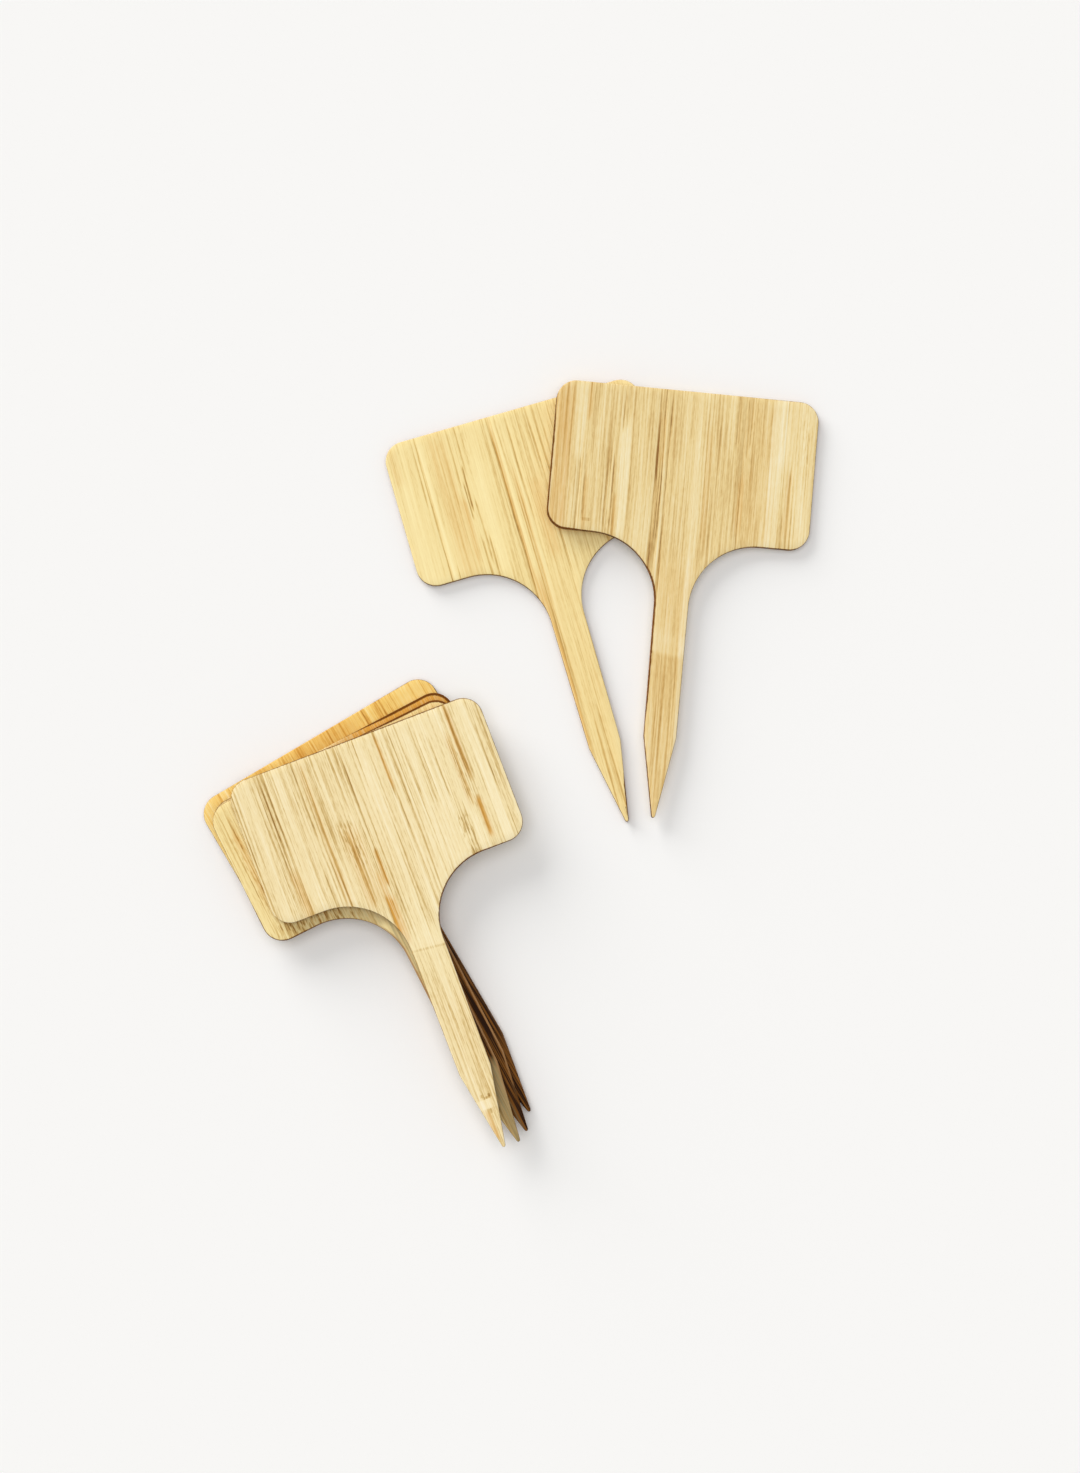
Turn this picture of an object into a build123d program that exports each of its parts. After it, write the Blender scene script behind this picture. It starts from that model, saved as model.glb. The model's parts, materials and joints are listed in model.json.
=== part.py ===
"""Six T-shaped bamboo plant labels: a crossed pair beside a loose stack, lying on a table.

Every label is cut from thin sheet that is glued edge to edge from bamboo strips, so each strip that
the cut leaves in a label is a piece of its own. Millimetres, +Z up, the table at Z = 0.
"""

import os
from math import asin, atan2, ceil, cos, hypot, isclose, radians, sin, tan

from build123d import *

# One label
LABEL_LENGTH = 98.0  # from the tip of the point to the top edge of the board
BOARD_WIDTH = 60.4
BOARD_HEIGHT = 34.2
BOARD_CORNER = 4.6  # rounding of the board's four corners
SHOULDER_RADIUS = 15.3  # hollow rounding from the board into the stem
STEM_TOP_WIDTH = 8.0  # where the stem's sides run into the line of the board's lower edge
STEM_END_WIDTH = 7.4  # where the point begins
POINT_LENGTH = 18.4
TIP_RADIUS = 0.4
THICKNESS = 2.0
EDGE_EASE = 0.2  # sanded edge of both faces
STRIP_WIDTH = 18.4  # one bamboo strip of the sheet

# The crossed pair
LEAN_CLEARANCE = 0.1  # between the leaning label and the corner that it leans on

# How each label lies: its tip on the table, the turn of its stem from straight towards -Y, the number
# of labels under it, and the distance of the glue line beside its stem from the stem's left side,
# where it is negative, or right side
LABELS = {
    "stack_bottom_label": {"tip": (-2.3, -85.1), "turn": 30.6, "under": 0, "glue_line": -0.5},
    "stack_third_label": {"tip": (-2.9, -89.4), "turn": 28.0, "under": 1, "glue_line": 0.5},
    "stack_second_label": {"tip": (-4.7, -91.7), "turn": 26.6, "under": 2, "glue_line": -0.6},
    "stack_top_label": {"tip": (-8.0, -92.8), "turn": 20.9, "under": 3, "glue_line": -0.3},
    "propping_label": {"tip": (19.9, -19.5), "turn": 16.2, "under": 0, "glue_line": -0.5},
    "leaning_label": {"tip": (25.5, -18.7), "turn": -5.0, "under": 0, "glue_line": -1.0},
}

STEM_LENGTH = LABEL_LENGTH - BOARD_HEIGHT


def sharp_tip():
    """Where the sides of the point would meet, for a tip that ends at 0, 0 once it is rounded."""
    half_point = STEM_END_WIDTH / 2
    past_tip_centre = POINT_LENGTH - TIP_RADIUS
    point_angle = atan2(half_point, past_tip_centre) - asin(TIP_RADIUS / hypot(half_point, past_tip_centre))
    return POINT_LENGTH - half_point / tan(point_angle)


def corners(sketch, x, y):
    """The corners of a sketch at a height, as far to the left of the middle as to the right."""
    return sketch.vertices().filter_by(lambda v: isclose(abs(v.X), x) and isclose(v.Y, y))


def label_blank():
    """One whole label lying face up on XY, its tip at the origin and its stem along +Y."""
    right_side = [
        (BOARD_WIDTH / 2, LABEL_LENGTH),
        (BOARD_WIDTH / 2, STEM_LENGTH),
        (STEM_TOP_WIDTH / 2, STEM_LENGTH),
        (STEM_END_WIDTH / 2, POINT_LENGTH),
    ]
    left_side = [(-x, y) for x, y in reversed(right_side)]
    with BuildPart() as blank:
        with BuildSketch() as outline:
            with BuildLine():
                Polyline(*right_side, (0, sharp_tip()), *left_side, close=True)
            make_face()
            fillet(corners(outline, STEM_TOP_WIDTH / 2, STEM_LENGTH), SHOULDER_RADIUS)
            fillet(corners(outline, BOARD_WIDTH / 2, STEM_LENGTH), BOARD_CORNER)
            fillet(corners(outline, BOARD_WIDTH / 2, LABEL_LENGTH), BOARD_CORNER)
            fillet(outline.vertices().sort_by(Axis.Y)[0], TIP_RADIUS)
        extrude(amount=THICKNESS)
        chamfer(blank.faces().filter_by(Axis.Z).edges(), EDGE_EASE)
    return blank.part


def lying_plane(tip, turn, under):
    """The underside of a label that lies flat on others."""
    across = (cos(radians(turn)), sin(radians(turn)), 0)
    return Plane(origin=(*tip, under * THICKNESS), x_dir=across, z_dir=(0, 0, 1))


def leaning_plane(flat, prop):
    """The underside of a label whose right side lies on the table and which leans on another's board.

    It leans on the lower right corner of the board below: on the point of the rounded corner that
    comes nearest to the side on the table.
    """
    foot = BOARD_WIDTH / 2 - EDGE_EASE
    side = flat.origin + flat.x_dir * foot
    corner = prop.from_local_coords((BOARD_WIDTH / 2 - BOARD_CORNER, STEM_LENGTH + BOARD_CORNER, 0))
    reach = (side - corner).dot(flat.x_dir) - (BOARD_CORNER - EDGE_EASE)
    lean = atan2(THICKNESS + LEAN_CLEARANCE, reach)
    across = flat.x_dir * cos(lean) - flat.z_dir * sin(lean)
    upwards = flat.x_dir * sin(lean) + flat.z_dir * cos(lean)
    return Plane(origin=side - across * foot, x_dir=across, z_dir=upwards)


def label_planes(blank):
    """The underside plane of every label, with the origin under the middle of the whole set."""
    planes = {name: lying_plane(lie["tip"], lie["turn"], lie["under"]) for name, lie in LABELS.items()}
    planes["leaning_label"] = leaning_plane(planes["leaning_label"], planes["propping_label"])
    boxes = [blank.moved(plane.location).bounding_box() for plane in planes.values()]
    middle_x = (min(box.min.X for box in boxes) + max(box.max.X for box in boxes)) / 2
    middle_y = (min(box.min.Y for box in boxes) + max(box.max.Y for box in boxes)) / 2
    middle = Vector(middle_x, middle_y, 0)
    return {
        name: Plane(origin=plane.origin - middle, x_dir=plane.x_dir, z_dir=plane.z_dir)
        for name, plane in planes.items()
    }


def strip_spans(glue_line):
    """Name and left and right glue line of each strip in a label, counted outwards from the stem's."""
    if glue_line < 0:
        left_line = glue_line - STEM_TOP_WIDTH / 2
    else:
        left_line = glue_line + STEM_TOP_WIDTH / 2 - STRIP_WIDTH
    right_line = left_line + STRIP_WIDTH
    spans = [("stem_strip", left_line, right_line)]
    for count in range(ceil((BOARD_WIDTH / 2 + left_line) / STRIP_WIDTH)):
        end = left_line - count * STRIP_WIDTH
        spans.append((f"left_strip_{count + 1}", end - STRIP_WIDTH, end))
    for count in range(ceil((BOARD_WIDTH / 2 - right_line) / STRIP_WIDTH)):
        start = right_line + count * STRIP_WIDTH
        spans.append((f"right_strip_{count + 1}", start, start + STRIP_WIDTH))
    return spans


def glue_plane(label, across):
    """The glued joint at a distance across a label, facing the label's right."""
    return Plane(origin=label.from_local_coords((across, 0, 0)), x_dir=label.y_dir, z_dir=label.x_dir)


os.makedirs("parts", exist_ok=True)
blank = label_blank()
planes = label_planes(blank)

for label_name, plane in planes.items():
    for strip_name, left_line, right_line in strip_spans(LABELS[label_name]["glue_line"]):
        with BuildPart(plane) as strip:
            add(blank)
            if left_line > -BOARD_WIDTH / 2:
                split(bisect_by=glue_plane(plane, left_line), keep=Keep.TOP)
            if right_line < BOARD_WIDTH / 2:
                split(bisect_by=glue_plane(plane, right_line), keep=Keep.BOTTOM)
        strip.part.label = f"{label_name}_{strip_name}"
        export_step(strip.part, f"parts/{strip.part.label}.step")
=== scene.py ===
"""The looks of six bamboo plant labels: a crossed pair beside a loose stack, on a pale table.

Every label is modelled whole in its own frame, in millimetres: its tip at the origin, its stem and
its grain along +Y, its underside at Z = 0. It is then cut at its glue lines into the strips that it
is made of, and laid where the CAD label lies.
"""

import json
from math import asin, atan2, ceil, cos, hypot, pi, radians, sin, tan

import bmesh
import bpy
from mathutils import Matrix, Vector, noise
from mathutils.geometry import delaunay_2d_cdt
from mathutils.kdtree import KDTree


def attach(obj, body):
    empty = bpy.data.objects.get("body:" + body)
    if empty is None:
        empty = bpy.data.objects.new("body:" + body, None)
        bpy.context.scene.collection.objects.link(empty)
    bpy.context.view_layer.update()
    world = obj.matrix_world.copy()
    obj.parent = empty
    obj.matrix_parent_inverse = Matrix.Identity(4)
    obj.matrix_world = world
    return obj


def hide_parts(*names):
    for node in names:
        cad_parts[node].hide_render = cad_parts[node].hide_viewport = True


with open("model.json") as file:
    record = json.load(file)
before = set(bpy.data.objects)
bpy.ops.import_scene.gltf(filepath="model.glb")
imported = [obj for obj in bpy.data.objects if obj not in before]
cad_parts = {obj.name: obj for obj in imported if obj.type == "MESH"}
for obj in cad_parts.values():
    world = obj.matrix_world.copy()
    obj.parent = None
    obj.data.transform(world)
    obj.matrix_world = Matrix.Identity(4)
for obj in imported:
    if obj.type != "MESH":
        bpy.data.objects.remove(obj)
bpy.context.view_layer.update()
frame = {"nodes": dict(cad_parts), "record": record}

MM = 0.001

# One label, in millimetres
LABEL_LENGTH = 98.0
BOARD_WIDTH = 60.4
BOARD_HEIGHT = 34.2
BOARD_CORNER = 4.6
SHOULDER_RADIUS = 15.3
STEM_TOP_WIDTH = 8.0
STEM_END_WIDTH = 7.4
POINT_LENGTH = 18.4
TIP_RADIUS = 0.4
THICKNESS = 2.0
EDGE_EASE = 0.2
STEM_LENGTH = LABEL_LENGTH - BOARD_HEIGHT

# The mesh of a label, in millimetres
OUTLINE_STEP = 0.6
LEAST_ARC_STEPS = 4
GRAIN_SPACING = 1.0
GRAIN_STEP = 1.6
RIM_CLEARANCE = 0.35
EASE_STEPS = 3
MERGE_DISTANCE = 1e-5
SEAM_WIDTH = 0.3
SEAM_DEPTH = 0.05
STREAK_DEPTH = 0.04
CARVED_TONE = -0.7  # streaks from this tone down are carved into the faces
WAVE_DEPTH = 0.03
WAVE_SIZE = (5.0, 30.0)  # across and along the grain
WAVE_SEED = 7
GRAIN_WANDER = 0.3
WANDER_SIZE = (22.0, 38.0)  # across and along the grain
SHARP_ANGLE = 35.0  # degrees

# What tells the faces of a CAD strip apart: how far up a face looks, and how square a joint is to it
FACES_UP = 0.5
SQUARE = 0.01

# Fibres of every label, from broad bands to pores: size across and along the grain, and weight
FIBRES = [(6.0, 200.0, 0.2), (2.0, 120.0, 0.2), (0.9, 60.0, 0.45), (0.4, 24.0, 1.0), (0.25, 1.6, 0.4)]

# Noise of the finish: size across, along and through the grain in millimetres, detail, and shift of the seed
NOISES = {
    "jitter": (0.6, 14.0, 0.6, 1.0, 0.6),
    "threads": (0.4, 20.0, 0.4, 2.0, 0.7),
    "flecks": (0.34, 2.4, 0.34, 1.0, 0.8),
    "drift": (0.9, 45.0, 0.9, 2.0, 0.9),
    "cuts": (0.5, 0.5, 40.0, 2.0, 1.1),
}
FIBRE_DETAIL = 2.0
FIBRE_SHIFT = 0.1
NOISE_ROUGHNESS = 0.55
# Where the noise of threads, flecks and cuts goes from 0 to 1
THREAD_STEP = (0.4, 0.6)
FLECK_STEP = (0.46, 0.6)
CUT_STEP = (0.36, 0.64)

# The strength of streaks and stains: what threads add to it, and what it is between them
STREAK_THREADS = (0.7, 0.5)
STAIN_THREADS = (0.5, 0.4)
# The share of threads in the marks of the cut, and how far marks move the tone of the wood
CUT_THREADS = 0.3
MARK_WEIGHT = 0.36
MIDDLE_TONE = 0.5
# Patches are gone at the first share of their width or half length, and whole up to the second
SIDE_FADE = (0.7, 0.2)
END_FADE = (1.15, 0.7)
# Distances in millimetres: sideways for jitter and painted shade, and from the cut edge for the rest
JITTER_WIDTH = 0.5
PAINTED_SHADE_DRIFT = 7.0
EDGE_ROUGHNESS = 0.3
SAWN_RIM = 0.03
RIM_FADE = 0.25
WALL = (-0.05, -0.18)
WORN_EDGE = (0.5, 0.3)
# Distances along the stem in millimetres: of worn edges from its upper end and from the tip
WORN_FADE = 12.0
WORN_FOOT = (6.0, 20.0)
# Node rings, in millimetres above their line: its half width, its blur, the pale ring's top and the wood
# below, and how far below the board they are whole
RING_LINE = (0.45, 0.1)
RING_BLUR = 0.8
RING_TOP = (6.5, 3.5)
RING_WOOD = (-26.0, -6.0)
RING_FADE = 8.0
# The surface: share of marks and threads in its bumps, their depth in millimetres, and its gloss
BUMP_MARKS = 0.5
BUMP_THREADS = 0.4
BUMP_STRENGTH = 0.3
BUMP_DEPTH = 0.05
ROUGHNESS = 0.5
THREAD_ROUGHNESS = 0.12
SPECULAR = 0.05

# Tones of each finish as display colours, from the darkest streak to the palest band
FINISHES = {
    "pale_bamboo": [(150, 114, 60), (208, 177, 114), (243, 223, 171), (250, 235, 193), (252, 241, 211)],
    "straw_bamboo": [(160, 116, 54), (216, 182, 112), (244, 221, 157), (251, 232, 172), (254, 238, 184)],
    "honey_bamboo": [(150, 108, 58), (208, 172, 108), (237, 211, 150), (246, 228, 180), (250, 240, 208)],
    "golden_bamboo": [(156, 98, 34), (214, 159, 70), (241, 200, 110), (245, 213, 134), (249, 227, 170)],
}
# Display colours of stains, dark rims of scorch and painted shade, cut walls, painted shade and worn edges
AMBER = (218, 158, 66)
SCORCH_AND_SHADE = (110, 63, 12)
SINGED = (156, 106, 56)
CHARRED = (84, 50, 18)
# The two colours of painted shade, for the parts of the stack that the labels above shade
PAINTED_SHADE_DARK = (38, 16, 1)
PAINTED_SHADE_BROWN = (128, 82, 32)
WORN = (170, 128, 84)

# Dark fibres that cross the second label's lower edge, where it shows below the top label
SECOND_LABEL_LINES = (
    *(-25.2, -23.9, -22.8, -21.9, -20.6, -19.5, -18.2),
    *(-17.3, -16.0, -14.1, -13.0, -11.7, -10.6, -9.1),
)

# Each label: its finish, the contrast of its fibres, how far the edges of its stem are worn, and the node
# rings of its cane: height above the tip, slant, and the tones of the pale ring, of the line under it and of
# the wood below. The rest are rows of: distance across from the middle, width, lower end, upper end and
# strength. Rims widen the dark rim along the cut edge, by millimetres: it is scorch, and where rims are wide
# it is mostly painted shade, where labels meet and on sides away from the lamp. Painted shade darkens the
# wood where the upper labels of the stack shade the lower ones. Streaks are darker below 0 and paler
# above it. Stains are amber, flecks short and broken; one stain on the propping label is painted shade.
LABELS = {
    "stack_bottom_label": {
        "slot": "golden_bamboo",
        "contrast": 1.1,
        # Its rim on the right corner paints a line of shade on the side away from the lamp
        "rims": [(-30.2, 30.0, 50, 130, 0.07), (30.2, 30.0, 70, 130, 0.14)],
        "worn": 0.1,
        "rings": [(30.0, 0.05, 0.4, -0.3, -0.2)],
        # Painted shade on the stem, where the labels above shade it
        "painted_shade": [(3.5, 12.0, -12, 68, 1.3)],
        "streaks": [
            (-26.4, 0.5, 62, 103, -0.6),
            (-24.6, 0.5, 62, 103, -0.5),
            (-22.0, 0.5, 62, 103, -0.6),
            (-13.6, 0.6, 62, 103, -0.8),
            (-7.6, 0.5, 62, 103, -0.6),
            (-5.0, 0.6, 62, 103, -0.8),
            (-3.8, 0.7, 62, 103, -1.0),
            (-3.0, 0.4, 62, 103, -0.8),
            (4.2, 0.4, 62, 103, -0.8),
            (5.6, 0.4, 62, 103, -0.5),
            (7.4, 0.4, 62, 103, -0.6),
            (10.2, 0.4, 62, 103, -0.5),
            (13.2, 0.5, 62, 103, -0.9),
            (16.8, 0.4, 62, 103, -0.5),
            (17.6, 0.4, 62, 103, -0.6),
            (20.4, 0.4, 62, 103, -0.5),
            (14.8, 2.0, 62, 103, 0.5),
            (24.0, 8.0, 62, 103, 0.5),
            (-27.6, 3.0, 62, 103, 0.4),
            (-25.0, 12.0, 62, 103, 0.25),
            (-23.2, 1.6, 62, 103, 0.5),
        ],
        "stains_and_shade": [
            (-14.0, 3.0, 62, 103, 0.4),
            (-3.6, 3.0, 62, 103, 0.8),
            (0.0, 5.0, 62, 103, 0.3),
            (6.0, 9.0, 62, 103, 0.6),
        ],
        "flecks": [],
    },
    "stack_third_label": {
        "slot": "honey_bamboo",
        "contrast": 0.9,
        # Its rim at the upper right paints the scorch on the edge together with the shade between the labels
        # above and below it
        "rims": [(-30.2, 30.0, 50, 130, 0.22), (26.0, 36.0, 86, 120, 0.7)],
        "worn": 0.8,
        "rings": [(38.0, -0.08, 0.4, -0.3, -0.2)],
        # Painted shade on the stem, where the labels above shade it
        "painted_shade": [(3.5, 12.0, -12, 68, 1.3)],
        "streaks": [(5.0, 0.5, 30, 99, -0.6), (-9.0, 0.6, 62, 99, -0.5), (14.0, 0.5, 62, 99, -0.6)],
        "stains_and_shade": [(-14.0, 3.0, 62, 99, 0.3), (18.0, 30.0, 93, 103, 1.6)],
        "flecks": [],
    },
    "stack_second_label": {
        "slot": "straw_bamboo",
        "contrast": 0.9,
        # Its rim at the upper right paints scorch together with the shade between the labels; the rim along
        # the lower left edge paints shade under the top label
        "rims": [(-30.2, 30.0, 40, 130, 0.12), (-18.0, 36.0, 46, 74, 0.16), (26.0, 36.0, 86, 120, 0.6)],
        "worn": 0.8,
        "rings": [(44.0, 0.06, 0.4, -0.3, -0.2)],
        # Painted shade on the stem and tip, where the labels above shade them, and along the lower edge,
        # under the top label
        "painted_shade": [(3.5, 12.0, 20, 68, 1.2), (3.5, 14.0, -6, 24, 0.68), (-12.0, 26.0, 57, 68, 0.3)],
        "streaks": [
            (-28.0, 0.4, 62, 99, -0.5),
            (-26.6, 0.5, 62, 99, -0.8),
            (-24.4, 0.4, 62, 99, -0.6),
            (-21.5, 0.5, 62, 99, -0.5),
            (-15.0, 0.5, 62, 99, -0.6),
            (3.0, 0.5, 8, 99, -0.5),
            (12.0, 0.5, 62, 99, -0.6),
            *[(across, 0.7, 52, 74, -0.69) for across in SECOND_LABEL_LINES],
            (-15.0, 24.0, 52, 72, 0.5),
        ],
        "stains_and_shade": [(-26.6, 1.6, 74, 92, 0.4), (10.0, 3.0, 62, 99, 0.25), (18.0, 30.0, 93, 103, 0.25)],
        "flecks": [(-17.0, 22.0, 57, 68, 1.0), (-26.0, 5.0, 66, 92, 0.5)],
    },
    "stack_top_label": {
        "slot": "pale_bamboo",
        "contrast": 1.0,
        # Its rims on the right side, the right shoulder and the upper edge paint dark lines of shade along
        # those edges
        "rims": [(17.0, 60.0, 20, 130, 0.12), (12.0, 24.0, 50, 72, 0.2), (0.0, 70.0, 94, 130, 0.22)],
        "worn": 0.0,
        "rings": [(47.7, 0.12, 0.2, -0.35, 0.0)],
        "painted_shade": [],
        "streaks": [
            (-29.6, 0.4, 66, 99, -0.5),
            (-27.4, 0.4, 70, 96, -0.3),
            (-25.9, 0.4, 62, 99, -0.5),
            (-24.4, 0.4, 62, 99, -0.6),
            (-23.4, 0.5, 62, 99, -0.7),
            (-22.7, 0.4, 62, 99, -0.9),
            (-21.7, 0.5, 62, 99, -1.0),
            (-19.6, 0.4, 62, 99, -0.3),
            (-17.8, 0.4, 66, 96, -0.3),
            (-16.2, 0.4, 66, 92, -0.5),
            (-14.6, 0.5, 80, 99, -0.8),
            (-13.7, 0.4, 62, 99, -0.6),
            (-12.8, 0.6, 60, 99, -0.8),
            (-11.3, 0.4, 60, 99, -0.3),
            (-10.0, 0.4, 72, 99, -0.5),
            (-8.9, 0.4, 74, 99, -0.4),
            (-8.0, 0.6, 60, 78, -0.7),
            (-7.2, 0.4, 60, 80, -0.5),
            (-5.9, 0.5, 82, 99, -0.6),
            (-4.6, 0.5, 66, 99, -0.8),
            (-3.4, 0.4, 60, 97, -0.8),
            (-3.5, 0.9, 64, 73, -0.9),
            (-5.0, 0.8, 55, 62, -1.0),
            (-3.9, 0.6, 56, 61, -0.9),
            (-2.0, 0.4, 50, 99, -0.3),
            (0.2, 0.4, 86, 99, -0.4),
            (2.5, 0.4, 40, 99, -0.3),
            (5.2, 0.6, 82, 99, -0.9),
            (5.5, 0.4, 50, 84, -0.7),
            (7.5, 0.4, 58, 99, -0.4),
            (8.6, 0.4, 70, 99, -0.4),
            (10.5, 0.4, 72, 99, -0.6),
            (13.4, 0.4, 76, 99, -0.7),
            (14.2, 0.4, 78, 99, -0.6),
            (16.6, 0.4, 78, 92, -0.7),
            (18.6, 0.4, 62, 76, -0.6),
            (20.6, 0.7, 74, 92, -0.7),
            (21.4, 0.4, 62, 80, -0.5),
            (22.5, 0.7, 80, 99, -0.9),
            (23.4, 0.5, 80, 99, -0.7),
            (22.4, 1.0, 67, 76, -0.8),
            (27.6, 0.4, 76, 93, -0.4),
            (-1.6, 0.4, 8, 46, -0.4),
            (1.6, 0.4, 8, 46, -0.4),
            (-0.7, 0.9, 11.9, 12.7, -0.68),
            (0.2, 1.5, 11.4, 12.0, -0.69),
            (1.1, 0.9, 11.7, 12.5, -0.68),
            (0.2, 0.7, 8.0, 9.2, -0.68),
            (-0.5, 3.6, 9.2, 11.5, 0.7),
            (1.0, 3.0, 30, 99, 0.35),
            (-19.5, 2.5, 62, 99, 0.2),
            (-21.0, 16.0, 62, 99, 0.1),
            (11.2, 1.2, 62, 99, 0.4),
            (26.0, 2.4, 62, 99, 0.25),
            (20.0, 14.0, 62, 99, 0.12),
        ],
        "stains_and_shade": [
            (-22.5, 2.5, 60, 75, 0.3),
            (-13.0, 1.6, 60, 99, 0.25),
            (-7.5, 4.5, 60, 80, 0.3),
            (-4.7, 1.4, 52, 68, 0.5),
            (-4.2, 2.2, 50, 62, 0.6),
            (-3.5, 1.0, 64, 73, 0.6),
            (5.3, 0.9, 84, 97, 0.5),
            (20.6, 1.5, 74, 92, 0.3),
            (22.5, 1.3, 80, 99, 0.5),
            (22.4, 1.5, 66, 76, 0.7),
            (-0.7, 1.3, 2, 9, 0.8),
            (0.0, 12.0, -10, 40, 0.1),
            (-12.0, 50.0, 60, 103, 0.06),
        ],
        "flecks": [(-7.8, 4.6, 70, 82, 0.6), (17.6, 3.4, 62, 74, 0.6), (20.8, 2.4, 72, 90, 0.4)],
    },
    "propping_label": {
        "slot": "straw_bamboo",
        "contrast": 0.72,
        # Its rim on the right side paints a thin line of shade on the side away from the lamp
        "rims": [(30.2, 40.0, 40, 130, 0.06), (2.5, 5.0, -12, 11, 0.4)],
        "worn": 0.0,
        "rings": [],
        "painted_shade": [],
        "streaks": [
            (-26.9, 0.4, 80, 99, -0.4),
            (-25.3, 0.4, 62, 99, -0.3),
            (-24.2, 0.4, 62, 97, -0.3),
            (-23.6, 0.4, 82, 99, -0.5),
            (-22.8, 0.4, 60, 99, -0.9),
            (-21.0, 0.4, 60, 99, -0.6),
            (-18.2, 0.4, 60, 99, -0.3),
            (-16.6, 0.4, 60, 99, -0.4),
            (-15.0, 0.4, 84, 99, -0.4),
            (-14.2, 0.4, 76, 85, -0.9),
            (-13.7, 0.5, 78, 89, -1.0),
            (-13.1, 0.4, 86, 99, -0.6),
            (-12.7, 0.5, 65, 81, -0.9),
            (-13.5, 0.5, 60, 72, -0.8),
            (-12.0, 0.4, 60, 72, -0.7),
            (-11.4, 0.4, 58, 70, -0.5),
            (-10.2, 0.4, 70, 99, -0.3),
            (-6.8, 0.4, 56, 99, -0.3),
            (-5.2, 0.5, 20, 99, -1.0),
            (-3.0, 0.4, 40, 86, -0.6),
            (-2.5, 0.4, 24, 82, -0.8),
            (-1.1, 0.4, 60, 99, -0.7),
            (0.2, 0.4, 60, 99, -0.3),
            (1.4, 0.4, 70, 99, -0.3),
            (4.0, 0.5, 56, 99, -0.9),
            (5.6, 0.4, 56, 99, -0.6),
            (7.0, 0.4, 56, 99, -0.6),
            (9.0, 0.5, 58, 99, -0.5),
            (14.0, 0.5, 60, 99, -0.6),
            (21.0, 0.5, 60, 99, -0.7),
            (-3.1, 0.4, 18, 60, -0.6),
            (0.8, 0.4, 2, 28, -0.7),
            (-0.8, 0.4, 2, 24, -0.5),
            (-27.5, 2.5, 62, 90, 0.25),
            (-24.5, 10.0, 60, 101, 0.25),
            (-12.0, 8.0, 60, 99, 0.2),
            (-21.9, 0.7, 60, 99, 0.5),
            (-10.4, 2.5, 62, 90, 0.25),
            (-4.0, 0.7, 20, 99, 0.5),
            (-1.8, 0.5, 40, 90, 0.35),
        ],
        "stains_and_shade": [
            (-28.4, 2.0, 88, 97, 0.25),
            (-18.0, 4.5, 60, 99, 0.3),
            (-15.4, 1.4, 66, 82, 0.45),
            (-4.8, 0.8, 20, 99, 0.5),
            (-2.6, 1.2, 50, 86, 0.3),
            # The patch at 1.5 across is painted shade, where the leaning label shades this one
            (1.5, 3.0, 62, 82, 0.3),
            (15.0, 4.0, 60, 99, 0.3),
            (-3.9, 1.4, 16, 60, 0.8),
            (0.0, 12.0, -10, 62, 0.14),
        ],
        "flecks": [(-11.5, 2.0, 84, 98, 0.3)],
    },
    "leaning_label": {
        "slot": "honey_bamboo",
        "contrast": 0.92,
        # The wide rim on the left side paints the shade where this label lies over the propping label, over
        # a little scorch; the rim on the right side paints a line of shade
        "rims": [
            (-30.2, 20.0, 50, 93, 0.4),
            (30.2, 30.0, 40, 130, 0.12),
            (0.0, 16.0, -30, 62, 0.11),
            (-4.2, 5.0, 24, 60, 0.3),
        ],
        "worn": 0.0,
        "rings": [(37.2, 0.15, 0.3, 0.0, -0.2)],
        "painted_shade": [],
        "streaks": [
            (-29.0, 0.5, 76, 99, -0.5),
            (-27.6, 0.5, 72, 99, -0.5),
            (-26.1, 0.5, 62, 99, -0.5),
            (-24.6, 0.4, 62, 81, -0.6),
            (-23.6, 0.4, 62, 81, -0.9),
            (-22.2, 0.4, 66, 82, -0.9),
            (-22.2, 0.6, 90, 99, -0.5),
            (-20.5, 0.4, 88, 99, -0.5),
            (-18.1, 0.4, 62, 84, -0.6),
            (-17.3, 0.4, 62, 87, -0.7),
            (-16.6, 0.4, 62, 85, -0.8),
            (-15.9, 0.4, 62, 82, -0.8),
            (-15.2, 0.5, 62, 73, -0.8),
            (-14.3, 0.4, 87, 99, -0.8),
            (-13.4, 0.4, 88, 99, -0.8),
            (-12.1, 0.4, 62, 99, -0.6),
            (-10.0, 0.4, 70, 95, -0.3),
            (-8.4, 0.5, 58, 99, -0.3),
            (-6.2, 0.5, 46, 99, -0.8),
            (-5.5, 1.3, 50, 99, -0.5),
            (-4.9, 0.4, 60, 99, -0.6),
            (-3.6, 0.4, 46, 96, -0.8),
            (1.5, 0.4, 50, 99, -0.3),
            (5.2, 0.4, 56, 99, -0.5),
            (6.2, 0.5, 58, 92, -0.5),
            (7.2, 0.4, 58, 99, -0.4),
            (8.0, 0.4, 58, 94, -0.4),
            (9.2, 0.4, 70, 99, -0.3),
            (11.9, 0.4, 86, 99, -0.8),
            (12.5, 0.4, 60, 88, -0.4),
            (13.5, 0.5, 60, 99, -0.9),
            (14.2, 0.4, 84, 99, -0.7),
            (14.9, 0.4, 86, 99, -0.7),
            (16.6, 3.4, 60, 99, -0.35),
            (19.4, 0.5, 62, 99, -0.4),
            (23.3, 0.4, 82, 99, -0.7),
            (23.6, 0.4, 62, 72, -0.7),
            (24.8, 0.5, 62, 82, -0.8),
            (25.6, 0.4, 62, 80, -0.5),
            (26.6, 0.4, 62, 72, -0.5),
            (27.0, 0.4, 82, 95, -0.5),
            (28.4, 0.4, 74, 92, -0.5),
            (-21.2, 2.0, 66.0, 66.8, -0.7),
            (-0.6, 0.5, 8, 40, -0.5),
            (-1.8, 0.4, 8, 40, -0.4),
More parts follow.
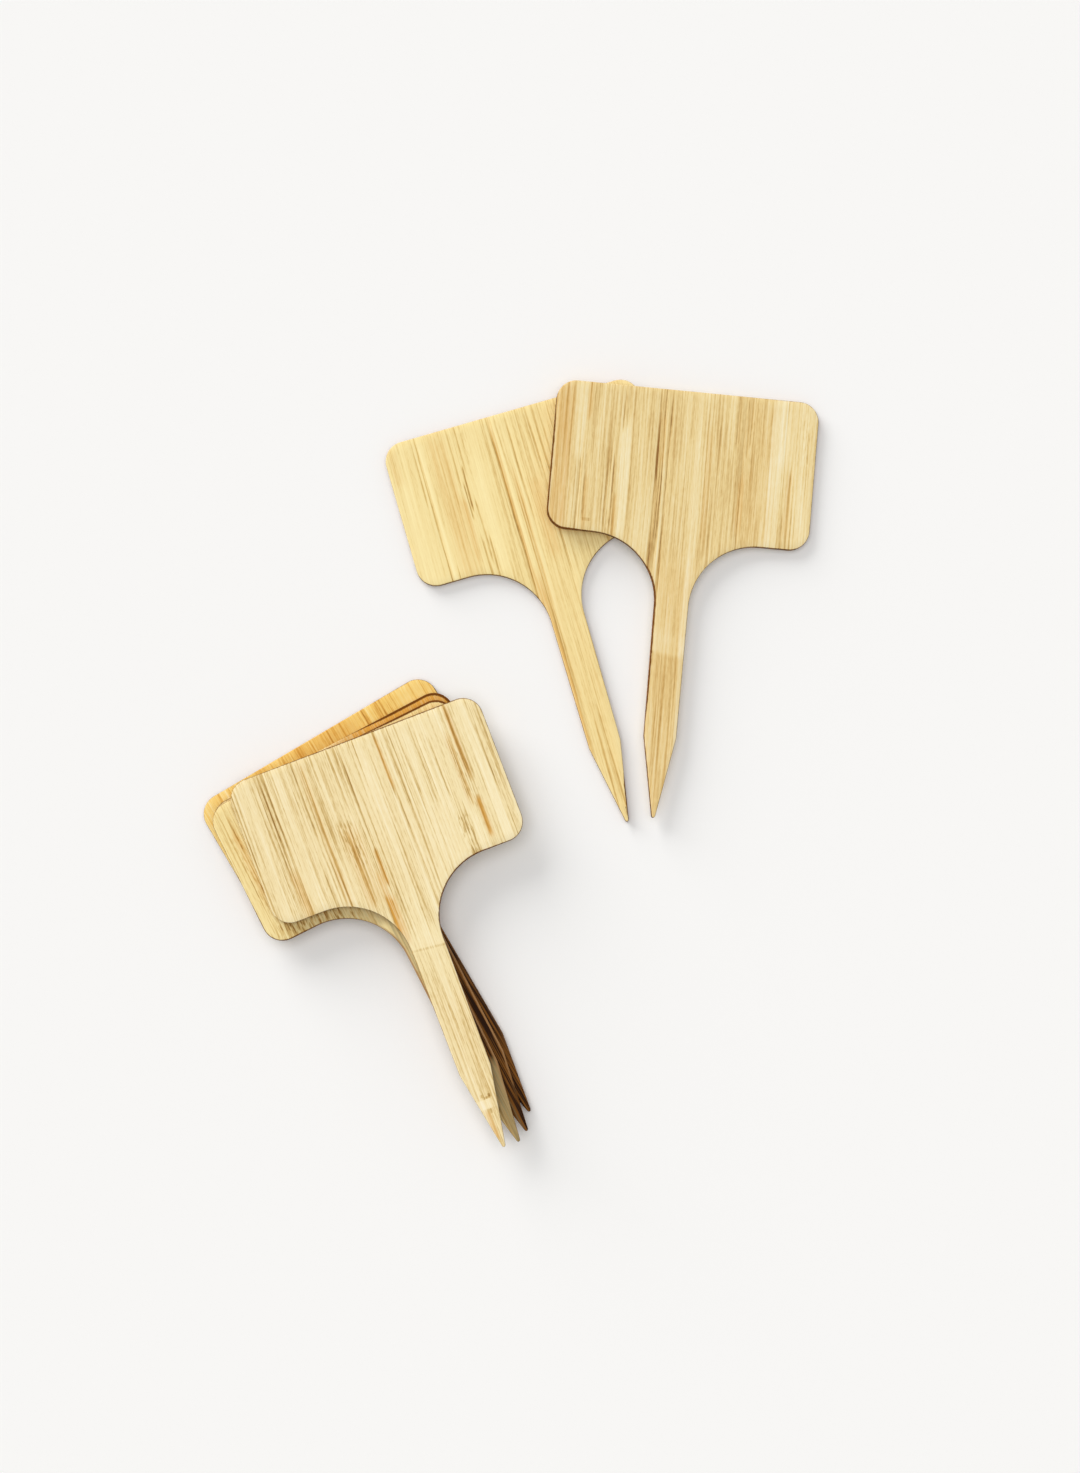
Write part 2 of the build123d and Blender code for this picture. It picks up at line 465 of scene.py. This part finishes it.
            (-24.2, 2.6, 80, 99, 0.3),
            (-3.0, 1.0, 4, 60, 0.5),
            (3.1, 1.0, 4, 60, 0.5),
            (-13.5, 2.6, 62, 90, 0.6),
            (-4.3, 0.4, 50, 98, 0.5),
            (3.2, 1.6, 54, 90, 0.35),
            (10.4, 1.0, 84, 99, 0.3),
            (22.0, 3.4, 82, 103, 0.6),
            (21.0, 3.4, 56, 84, 0.6),
            (27.6, 4.0, 60, 99, 0.45),
            (-9.0, 4.0, 58, 99, 0.2),
        ],
        "stains_and_shade": [
            (-28.0, 4.6, 62, 99, 0.45),
            (0.0, 12.0, -10, 62, 0.2),
            (17.0, 8.0, 60, 99, 0.14),
            (-21.7, 1.2, 62, 76, 0.3),
            (-22.2, 1.2, 89, 99, 0.35),
            (-15.0, 1.0, 62, 73, 0.3),
            (-5.2, 1.2, 80, 92, 0.3),
            (5.8, 1.4, 62, 90, 0.2),
            (13.5, 1.6, 66, 80, 0.35),
            (24.6, 1.4, 66, 82, 0.25),
        ],
        "flecks": [(27.6, 3.0, 78, 96, 0.4), (-16.8, 3.0, 62, 70, 0.3)],
    },
}

# Table, light and camera
TABLE_COLOUR = (248, 247, 245)
TABLE_HALF_SIZE = 6.0
# Lamps: direction round the table, height of the lamp's middle and its spread in degrees, share of light
LAMPS = {"window": (130.0, 20.0, 44.0, 0.28), "overhead": (130.0, 88.0, 50.0, 0.4)}
VIEW_CENTRE = Vector((6.31, 5.446, 0.0))
VIEW_ELEVATION = 86.0
VIEW_DISTANCE = 800.0
PIXELS_PER_MM = 4.38
PICTURE_HEIGHT = 1473
SENSOR = 36.0


def linear(colour):
    """A display colour of 0 to 255 as the linear colour that a shader takes."""
    shares = [channel / 255 for channel in colour]
    return [share / 12.92 if share <= 0.04045 else ((share + 0.055) / 1.055) ** 2.4 for share in shares]


# Geometry of a label


def sharp_tip():
    """Where the sides of the point would meet, for a tip that ends at 0, 0 once it is rounded."""
    half_point = STEM_END_WIDTH / 2
    past_tip_centre = POINT_LENGTH - TIP_RADIUS
    point_angle = atan2(half_point, past_tip_centre) - asin(TIP_RADIUS / hypot(half_point, past_tip_centre))
    return POINT_LENGTH - half_point / tan(point_angle)


def label_corners():
    """The corners of a label's outline, counter-clockwise from the tip, each with its rounding."""
    right_side = [
        (STEM_END_WIDTH / 2, POINT_LENGTH, 0.0),
        (STEM_TOP_WIDTH / 2, STEM_LENGTH, SHOULDER_RADIUS),
        (BOARD_WIDTH / 2, STEM_LENGTH, BOARD_CORNER),
        (BOARD_WIDTH / 2, LABEL_LENGTH, BOARD_CORNER),
    ]
    left_side = [(-x, y, radius) for x, y, radius in reversed(right_side)]
    return [(0.0, sharp_tip(), TIP_RADIUS), *right_side, *left_side]


def rounded_corner(before, corner, after, radius):
    """The points of one corner of an outline, rounded by an arc."""
    if radius == 0:
        return [corner]
    back, on = (before - corner).normalized(), (after - corner).normalized()
    half_angle = back.angle(on) / 2
    middle = corner + (back + on).normalized() * radius / sin(half_angle)
    start = corner + back * radius / tan(half_angle) - middle
    sweep = pi - 2 * half_angle
    if back.cross(on) > 0:
        sweep = -sweep
    count = max(LEAST_ARC_STEPS, ceil(radius * abs(sweep) / OUTLINE_STEP))
    return [middle + Matrix.Rotation(sweep * i / count, 2) @ start for i in range(count + 1)]


def label_outline():
    """Points round a whole label, at most a step apart."""
    corners = label_corners()
    places = [Vector(corner[:2]) for corner in corners]
    arcs = [
        rounded_corner(places[i - 1], places[i], places[(i + 1) % len(places)], corners[i][2])
        for i in range(len(places))
    ]
    outline = []
    for i, arc in enumerate(arcs):
        outline += arc
        gap = arcs[(i + 1) % len(arcs)][0] - arc[-1]
        steps = ceil(gap.length / OUTLINE_STEP)
        outline += [arc[-1] + gap * k / steps for k in range(1, steps)]
    return outline


def inset(outline, distance):
    """The outline moved inwards."""
    moved = []
    for i, point in enumerate(outline):
        run = (outline[(i + 1) % len(outline)] - outline[i - 1]).normalized()
        moved.append(point + Vector((-run.y, run.x)) * distance)
    return moved


def inside_runs(outline, across):
    """Where a line along the grain is inside an outline, as pairs of lower and upper ends."""
    crossings = []
    for i, end in enumerate(outline):
        start = outline[i - 1]
        if (start.x < across) != (end.x < across):
            crossings.append(start.y + (end.y - start.y) * (across - start.x) / (end.x - start.x))
    crossings.sort()
    return list(zip(crossings[::2], crossings[1::2]))


def wander(across, along, seed):
    """How far the grain strays from straight at a place on a label."""
    wide, long = WANDER_SIZE
    return GRAIN_WANDER * noise.noise(Vector((across / wide, along / long, seed)))


class Label:
    """One label: where the CAD model has it, its strips, and the mesh that is cut into them."""

    def __init__(self, name, seed):
        self.name = name
        self.seed = seed
        self.carved = [streak for streak in LABELS[name]["streaks"] if streak[-1] <= CARVED_TONE]
        self.strips = frame["record"]["behaviour"]["bodies"][name]
        self.place = self.cad_place()
        self.spans = {strip: self.cad_span(strip) for strip in self.strips}
        edges = {edge for span in self.spans.values() for edge in span}
        self.seams = sorted(edge for edge in edges if abs(edge) < BOARD_WIDTH / 2 - EDGE_EASE)

    def cad_place(self):
        """The label's own frame, read from its CAD strips: their upper face and their widest joint."""
        mesh = frame["nodes"][f"{self.name}_stem_strip"].data
        mesh.calc_loop_triangles()
        by_size = sorted(mesh.loop_triangles, key=lambda triangle: triangle.area, reverse=True)
        up = next(Vector(t.normal) for t in by_size if t.normal.z > FACES_UP)
        joint = next(t for t in by_size if abs(t.normal.dot(up)) < SQUARE)
        across = Vector(joint.normal)
        along = up.cross(across)
        points = [v.co for strip in self.strips for v in frame["nodes"][strip].data.vertices]
        reach = [point.dot(along) for point in points]
        if Vector(joint.center).dot(along) < (min(reach) + max(reach)) / 2:
            across, along = -across, -along
            reach = [-r for r in reach]
        sides = [point.dot(across) for point in points]
        origin = across * (min(sides) + max(sides)) / 2 + along * min(reach)
        origin += up * min(point.dot(up) for point in points)
        place = Matrix((across, along, up)).transposed().to_4x4()
        place.translation = origin
        return place

    def cad_span(self, strip):
        """The left and right side of a strip across the label, in millimetres."""
        inverse = self.place.inverted()
        sides = [(inverse @ v.co).x / MM for v in frame["nodes"][strip].data.vertices]
        return round(min(sides), 3), round(max(sides), 3)

    def relief(self, across, along):
        """How far the upper face lies below its flat at a place: waves, streaks and glue seams."""
        grain = across + wander(across, along, self.seed)
        wide, long = WAVE_SIZE
        wave = noise.noise(Vector((across / wide, along / long, self.seed + WAVE_SEED)))
        depth = WAVE_DEPTH * (0.5 + 0.5 * wave)
        for centre, width, lower, upper, tone in self.carved:
            if lower < along < upper:
                depth -= STREAK_DEPTH * tone * max(0.0, 1 - 2 * abs(grain - centre) / width)
        for seam in self.seams:
            depth = max(depth, SEAM_DEPTH * (1 - 2 * abs(across - seam) / SEAM_WIDTH))
        return depth

    def grain_lines(self):
        """Where the mesh of the face follows the grain: streaks, seams, and evenly between them."""
        fine = {round(centre + k * width / 2, 2) for centre, width, *_ in self.carved for k in (-1, 0, 1)}
        fine |= {round(seam + k * SEAM_WIDTH / 2, 2) for seam in self.seams for k in (-1, 0, 1)}
        count = int(BOARD_WIDTH / GRAIN_SPACING)
        even = [-BOARD_WIDTH / 2 + GRAIN_SPACING * (i + 0.5) for i in range(count)]
        spread = [line for line in even if all(abs(line - f) > GRAIN_SPACING / 3 for f in fine)]
        lines = []
        for line in sorted([*fine, *spread]):
            if not lines or line - lines[-1] > SEAM_WIDTH / 3:
                lines.append(line)
        return lines

    def face_triangles(self, rim):
        """Points and triangles of a face inside its rim, with rows of points along the grain."""
        near = KDTree(len(rim))
        for i, point in enumerate(rim):
            near.insert(point.to_3d(), i)
        near.balance()
        points = list(rim)
        edges = [(i, (i + 1) % len(rim)) for i in range(len(rim))]
        for line in self.grain_lines():
            for lower, upper in inside_runs(rim, line):
                rows = max(1, round((upper - lower) / GRAIN_STEP))
                joined = False
                for row in range(rows + 1):
                    along = lower + (upper - lower) * row / rows
                    point = Vector((line - wander(line, along, self.seed), along))
                    clear = near.find(point.to_3d())[2] > RIM_CLEARANCE
                    if clear and any(low < along < high for low, high in inside_runs(rim, point.x)):
                        points.append(point)
                        if joined:
                            edges.append((len(points) - 2, len(points) - 1))
                    joined = clear
        filled = delaunay_2d_cdt(points, edges, [], 1, MERGE_DISTANCE)
        return filled[0], filled[2], filled[3], near

    def mesh(self):
        """The whole label as a closed mesh, with the distance of every point from the cut edge."""
        made = bmesh.new()
        edge = made.verts.layers.float.new("edge")
        outline = label_outline()
        rims = []
        for height, turn in [(0, 1), (THICKNESS, -1)]:
            angles = [pi / 2 * step / EASE_STEPS for step in range(EASE_STEPS + 1)]
            profile = [(EDGE_EASE * (1 - sin(a)), height + turn * EDGE_EASE * (1 - cos(a))) for a in angles]
            rims += profile if turn > 0 else reversed(profile)
        rings = []
        for distance, height in rims:
            ring = []
            for point in inset(outline, distance):
                vert = made.verts.new((*point, height))
                vert[edge] = distance - min(height, THICKNESS - height)
                ring.append(vert)
            rings.append(ring)
        count = len(outline)
        for low, high in zip(rings, rings[1:]):
            for i in range(count):
                made.faces.new((low[i], low[(i + 1) % count], high[(i + 1) % count], high[i]))
        rim = inset(outline, EDGE_EASE)
        points, triangles, sources, near = self.face_triangles(rim)
        for ring, height, turn in [(rings[0], 0.0, -1), (rings[-1], THICKNESS, 1)]:
            verts = []
            for point, source in zip(points, sources):
                on_rim = [i for i in source if i < count]
                if on_rim:
                    verts.append(ring[on_rim[0]])
                    continue
                sunk = self.relief(point.x, point.y)
                vert = made.verts.new((point.x, point.y, height - turn * sunk))
                vert[edge] = EDGE_EASE + near.find(point.to_3d())[2]
                verts.append(vert)
            for triangle in triangles:
                made.faces.new([verts[i] for i in triangle[::turn]])
        return made

    def strip_mesh(self, whole, strip):
        """The part of a whole label's mesh between a strip's glue lines, closed and set in place."""
        cut = whole.copy()
        edge = cut.verts.layers.float["edge"]
        for line, side in zip(self.spans[strip], (-1, 1)):
            if line in self.seams:
                found = bmesh.ops.bisect_plane(
                    cut,
                    geom=[*cut.verts, *cut.edges, *cut.faces],
                    plane_co=(line, 0, 0),
                    plane_no=(side, 0, 0),
                    clear_outer=True,
                )
                rim = [part for part in found["geom_cut"] if isinstance(part, bmesh.types.BMEdge)]
                bmesh.ops.triangle_fill(cut, use_beauty=True, edges=rim)
        bmesh.ops.recalc_face_normals(cut, faces=cut.faces)
        mesh = bpy.data.meshes.new(f"bamboo_{strip}")
        grain = [(v.co.x + wander(v.co.x, v.co.y, self.seed), v.co.y, v.co.z) for v in cut.verts]
        rim_distance = [v[edge] for v in cut.verts]
        cut.verts.layers.float.remove(edge)
        cut.to_mesh(mesh)
        cut.free()
        placed = mesh.attributes.new("grain", "FLOAT_VECTOR", "POINT")
        placed.data.foreach_set("vector", [value for point in grain for value in point])
        rims = mesh.attributes.new("edge", "FLOAT", "POINT")
        rims.data.foreach_set("value", rim_distance)
        mesh.transform(self.place @ Matrix.Scale(MM, 4))
        mesh.shade_smooth()
        mesh.set_sharp_from_angle(angle=radians(SHARP_ANGLE))
        return mesh


# Bamboo finish


def node(tree, kind, inputs=None, **settings):
    """A new shader node, with its settings, and its inputs set to values or linked to outputs."""
    made = tree.nodes.new(kind)
    for name, value in settings.items():
        setattr(made, name, value)
    for key, value in (inputs or {}).items():
        if isinstance(value, bpy.types.NodeSocket):
            tree.links.new(value, made.inputs[key])
        else:
            made.inputs[key].default_value = value
    return made


def calc(tree, operation, first, second=0.0, third=0.0):
    """The result of a sum on numbers or node outputs."""
    return node(tree, "ShaderNodeMath", {0: first, 1: second, 2: third}, operation=operation).outputs[0]


def ramp(tree, value, start, end, low=0.0, high=1.0):
    """A smooth step from low to high as a value goes from start to end."""
    inputs = {"Value": value, "From Min": start, "From Max": end, "To Min": low, "To Max": high}
    return node(tree, "ShaderNodeMapRange", inputs, interpolation_type="SMOOTHSTEP").outputs["Result"]


def patches(tree, across, along, rows):
    """The sum of patches along the grain, each with soft sides and ends."""
    total = 0.0
    for centre, width, lower, upper, strength in rows:
        aside = calc(tree, "ABSOLUTE", calc(tree, "SUBTRACT", across, centre))
        away = calc(tree, "ABSOLUTE", calc(tree, "SUBTRACT", along, (lower + upper) / 2))
        half = (upper - lower) / 2
        side = ramp(tree, aside, *[width * share for share in SIDE_FADE], 0.0, strength)
        end = ramp(tree, away, *[half * share for share in END_FADE])
        total = calc(tree, "MULTIPLY_ADD", side, end, total)
    return total


def node_rings(tree, across, along, rings):
    """The tone of the node rings of the cane: a pale ring, a line under it, and the wood below."""
    total = 0.0
    for height, slant, pale, line, below in rings:
        level = calc(tree, "SUBTRACT", calc(tree, "MULTIPLY_ADD", across, slant, along), height)
        above = ramp(tree, level, -RING_BLUR, RING_BLUR)
        under = ramp(tree, level, RING_BLUR, -RING_BLUR)
        band = calc(tree, "MULTIPLY", above, ramp(tree, level, *RING_TOP, 0.0, pale))
        mark = ramp(tree, calc(tree, "ABSOLUTE", level), *RING_LINE, 0.0, line)
        wood = calc(tree, "MULTIPLY", under, ramp(tree, level, *RING_WOOD, 0.0, below))
        ring = calc(tree, "ADD", calc(tree, "ADD", band, mark), wood)
        on_stem = ramp(tree, along, STEM_LENGTH, STEM_LENGTH - RING_FADE)
        total = calc(tree, "MULTIPLY_ADD", ring, on_stem, total)
    return total


def mixed(tree, share, first, second):
    """A colour that goes from the first to the second with a share."""
    made = node(tree, "ShaderNodeMix", {"Factor": share}, data_type="RGBA")
    for socket, colour in (("A", first), ("B", second)):
        target = next(s for s in made.inputs if s.identifier == f"{socket}_Color")
        if isinstance(colour, bpy.types.NodeSocket):
            tree.links.new(colour, target)
        else:
            target.default_value = (*linear(colour), 1.0)
    return next(s for s in made.outputs if s.identifier == "Result_Color")


class Bamboo:
    """The finish of one label, built up in a shader from its fibres to the scorch on its edges, with painted
    shade on the rims and stems that lie in shade.
    """

    def __init__(self, name, seed):
        self.material = bpy.data.materials.new(f"{name}_bamboo")
        self.material.use_nodes = True
        self.tree = self.material.node_tree
        self.facts = LABELS[name]
        self.seed = seed
        self.grain = node(self.tree, "ShaderNodeAttribute", attribute_name="grain").outputs["Vector"]
        self.edge = node(self.tree, "ShaderNodeAttribute", attribute_name="edge").outputs["Fac"]
        places = node(self.tree, "ShaderNodeSeparateXYZ", {0: self.grain}).outputs
        self.straight = places["X"]
        self.along = places["Y"]
        self.across = self.strayed(self.straight, self.noise(*NOISES["jitter"]), JITTER_WIDTH)
        self.threads = ramp(self.tree, self.noise(*NOISES["threads"]), *THREAD_STEP)
        self.layers = [
            self.noise(wide, long, wide, FIBRE_DETAIL, FIBRE_SHIFT * count)
            for count, (wide, long, _) in enumerate(FIBRES)
        ]
        self.rough_edge = self.strayed(self.edge, self.layers[-1], EDGE_ROUGHNESS)

    def noise(self, across, along, through, detail, shift):
        """Noise of 0 to 1, drawn out along the grain."""
        seed = self.seed + shift
        sizes = (1 / across, 1 / along, 1 / through)
        inputs = {0: self.grain, 1: sizes, 2: (seed, 3 * seed, 7 * seed)}
        drawn = node(self.tree, "ShaderNodeVectorMath", inputs, operation="MULTIPLY_ADD").outputs[0]
        inputs = {"Vector": drawn, "Scale": 1.0, "Detail": detail, "Roughness": NOISE_ROUGHNESS}
        return node(self.tree, "ShaderNodeTexNoise", inputs).outputs[0]

    def strayed(self, value, stray, width):
        """A distance that strays to both sides with a noise."""
        return calc(self.tree, "ADD", calc(self.tree, "MULTIPLY_ADD", stray, width, -width / 2), value)

    def threaded(self, value, on_threads, between):
        """A strength that is broken up by threads."""
        share = calc(self.tree, "MULTIPLY_ADD", self.threads, on_threads, between)
        return calc(self.tree, "MULTIPLY", value, share)

    def marks(self):
        """The tone of streaks, flecks and node rings."""
        tree, facts = self.tree, self.facts
        dark = patches(tree, self.across, self.along, [row for row in facts["streaks"] if row[-1] < 0])
        pale = patches(tree, self.across, self.along, [row for row in facts["streaks"] if row[-1] > 0])
        broken = ramp(tree, self.noise(*NOISES["flecks"]), *FLECK_STEP)
        flecks = calc(tree, "MULTIPLY", patches(tree, self.across, self.along, facts["flecks"]), broken)
        marks = calc(tree, "SUBTRACT", self.threaded(dark, *STREAK_THREADS), flecks)
        marks = calc(tree, "ADD", marks, pale)
        return calc(tree, "ADD", marks, node_rings(tree, self.across, self.along, facts["rings"]))

    def wood(self, marks):
        """The colour of clean wood: fibres and marks."""
        tone = MIDDLE_TONE
        for layer, (_, _, weight) in zip(self.layers, FIBRES):
            change = calc(self.tree, "SUBTRACT", layer, 0.5)
            tone = calc(self.tree, "MULTIPLY_ADD", change, weight * self.facts["contrast"], tone)
        tone = calc(self.tree, "MULTIPLY_ADD", marks, MARK_WEIGHT, tone)
        colours = node(self.tree, "ShaderNodeValToRGB", {"Fac": tone})
        stops = colours.color_ramp.elements
        tones = FINISHES[self.facts["slot"]]
        while len(stops) < len(tones):
            stops.new(MIDDLE_TONE)
        for i, (stop, colour) in enumerate(zip(stops, tones)):
            stop.position = i / (len(tones) - 1)
            stop.color = (*linear(colour), 1.0)
        return colours.outputs["Color"]

    def stained_and_shaded(self, surface):
        """A colour with amber patches; one patch on the propping label is painted shade."""
        stain_and_shade = patches(self.tree, self.across, self.along, self.facts["stains_and_shade"])
        return mixed(self.tree, self.threaded(stain_and_shade, *STAIN_THREADS), surface, AMBER)

    def with_painted_shade(self, surface):
        """A colour with painted shade where the labels above shade it, darkest between the threads."""
        drifted = self.strayed(self.across, self.noise(*NOISES["drift"]), PAINTED_SHADE_DRIFT)
        painted_shade = patches(self.tree, drifted, self.along, self.facts["painted_shade"])
        return mixed(self.tree, painted_shade, surface, mixed(self.tree, self.threads, PAINTED_SHADE_DARK, PAINTED_SHADE_BROWN))

    def scorched_and_shaded(self, surface):
        """A colour with a dark rim, partly scorch and partly painted shade, and with the marks of the cut
        down the walls.
        """
        tree = self.tree
        # The rim is scorch, widened by rows that paint shade along edges that lie in shade
        rim = calc(tree, "ADD", patches(tree, self.straight, self.along, self.facts["rims"]), SAWN_RIM)
        on_rim = ramp(tree, self.rough_edge, rim, calc(tree, "SUBTRACT", rim, RIM_FADE))
        on_wall = ramp(tree, self.edge, *WALL)
        cuts = ramp(tree, self.noise(*NOISES["cuts"]), *CUT_STEP, 0.0, 1 - CUT_THREADS)
        cuts = calc(tree, "MULTIPLY_ADD", self.threads, CUT_THREADS, cuts)
        burnt_and_shaded = mixed(tree, on_wall, SCORCH_AND_SHADE, mixed(tree, cuts, CHARRED, SINGED))
        return mixed(tree, calc(tree, "MAXIMUM", on_rim, on_wall), surface, burnt_and_shaded)

    def worn(self, surface):
        """A colour with the edges of the stem worn paler."""
        tree = self.tree
        on_stem = ramp(tree, self.along, STEM_LENGTH, STEM_LENGTH - WORN_FADE, 0.0, self.facts["worn"])
        on_stem = calc(tree, "MULTIPLY", on_stem, ramp(tree, self.along, *WORN_FOOT))
        share = calc(tree, "MULTIPLY", ramp(tree, self.rough_edge, *WORN_EDGE), on_stem)
        return mixed(tree, share, surface, WORN)

    def finish(self):
        """The whole material."""
        tree = self.tree
        marks = self.marks()
        surface = self.with_painted_shade(self.stained_and_shaded(self.wood(marks)))
        surface = self.worn(self.scorched_and_shaded(surface))
        height = calc(tree, "MULTIPLY_ADD", self.threads, BUMP_THREADS, self.layers[-1])
        height = calc(tree, "MULTIPLY_ADD", marks, BUMP_MARKS, height)
        inputs = {"Strength": BUMP_STRENGTH, "Distance": BUMP_DEPTH * MM, "Height": height}
        bump = node(tree, "ShaderNodeBump", inputs)
        roughness = calc(tree, "MULTIPLY_ADD", self.threads, THREAD_ROUGHNESS, ROUGHNESS)
        shader = tree.nodes["Principled BSDF"]
        tree.links.new(surface, shader.inputs["Base Color"])
        tree.links.new(roughness, shader.inputs["Roughness"])
        tree.links.new(bump.outputs["Normal"], shader.inputs["Normal"])
        shader.inputs["Specular IOR Level"].default_value = SPECULAR
        return self.material


def add_labels():
    """Every label, as one piece for each of its strips."""
    for seed, name in enumerate(LABELS, start=1):
        label = Label(name, seed)
        finish = Bamboo(name, seed).finish()
        whole = label.mesh()
        for strip in label.strips:
            mesh = label.strip_mesh(whole, strip)
            mesh.materials.append(finish)
            piece = bpy.data.objects.new(mesh.name, mesh)
            bpy.context.scene.collection.objects.link(piece)
            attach(piece, name)
            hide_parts(strip)
        whole.free()


# Table, light and camera


def add_table():
    """The pale table that the labels lie on."""
    made = bpy.data.materials.new("pale_table")
    made.use_nodes = True
    shader = made.node_tree.nodes["Principled BSDF"]
    shader.inputs["Base Color"].default_value = (*linear(TABLE_COLOUR), 1.0)
    shader.inputs["Roughness"].default_value = 1.0
    shader.inputs["Specular IOR Level"].default_value = 0.0
    mesh = bpy.data.meshes.new("table")
    size = TABLE_HALF_SIZE
    corners = [(-size, -size, 0), (size, -size, 0), (size, size, 0), (-size, size, 0)]
    mesh.from_pydata(corners, [], [(0, 1, 2, 3)])
    mesh.materials.append(made)
    table = bpy.data.objects.new("table", mesh)
    bpy.context.scene.collection.objects.link(table)


def add_light():
    """An even sky and the lamps, which together light the table as its colour is written."""
    world = bpy.data.worlds.new("studio")
    bpy.context.scene.world = world
    world.use_nodes = True
    tree = world.node_tree
    path = node(tree, "ShaderNodeLightPath").outputs
    seen = calc(tree, "MAXIMUM", path["Is Camera Ray"], path["Is Glossy Ray"])
    seen = calc(tree, "MAXIMUM", seen, path["Is Transmission Ray"])
    shown = node(tree, "ShaderNodeBackground", {"Color": (*linear(TABLE_COLOUR), 1.0), "Strength": 1.0})
    sky = tree.nodes["Background"]
    sky.inputs["Color"].default_value = (1.0, 1.0, 1.0, 1.0)
    sky.inputs["Strength"].default_value = 1.0 - sum(share for *_, share in LAMPS.values())
    both = node(tree, "ShaderNodeMixShader", {0: seen, 1: sky.outputs[0], 2: shown.outputs[0]})
    tree.links.new(both.outputs[0], tree.nodes["World Output"].inputs["Surface"])

    for name, (turn, climb, spread, share) in LAMPS.items():
        lamp = bpy.data.lights.new(name, "SUN")
        lamp.energy = pi * share / sin(radians(climb))
        lamp.angle = radians(spread)
        sun = bpy.data.objects.new(name, lamp)
        flat = Vector((cos(radians(turn)), sin(radians(turn)), 0.0)) * cos(radians(climb))
        towards = flat + Vector((0.0, 0.0, sin(radians(climb))))
        sun.rotation_euler = towards.to_track_quat("Z", "Y").to_euler()
        bpy.context.scene.collection.objects.link(sun)


def add_camera():
    """The camera almost straight above, as in the photograph."""
    data = bpy.data.cameras.new("camera")
    data.sensor_width = SENSOR
    data.lens = SENSOR * PIXELS_PER_MM * VIEW_DISTANCE / PICTURE_HEIGHT
    camera = bpy.data.objects.new("camera", data)
    climb = radians(VIEW_ELEVATION)
    back = Vector((0.0, -cos(climb), sin(climb)))
    camera.location = (VIEW_CENTRE + back * VIEW_DISTANCE) * MM
    camera.rotation_euler = back.to_track_quat("Z", "Y").to_euler()
    bpy.context.scene.collection.objects.link(camera)
    bpy.context.scene.camera = camera


add_labels()
add_table()
add_light()
add_camera()
bpy.context.scene.view_settings.view_transform = "Standard"
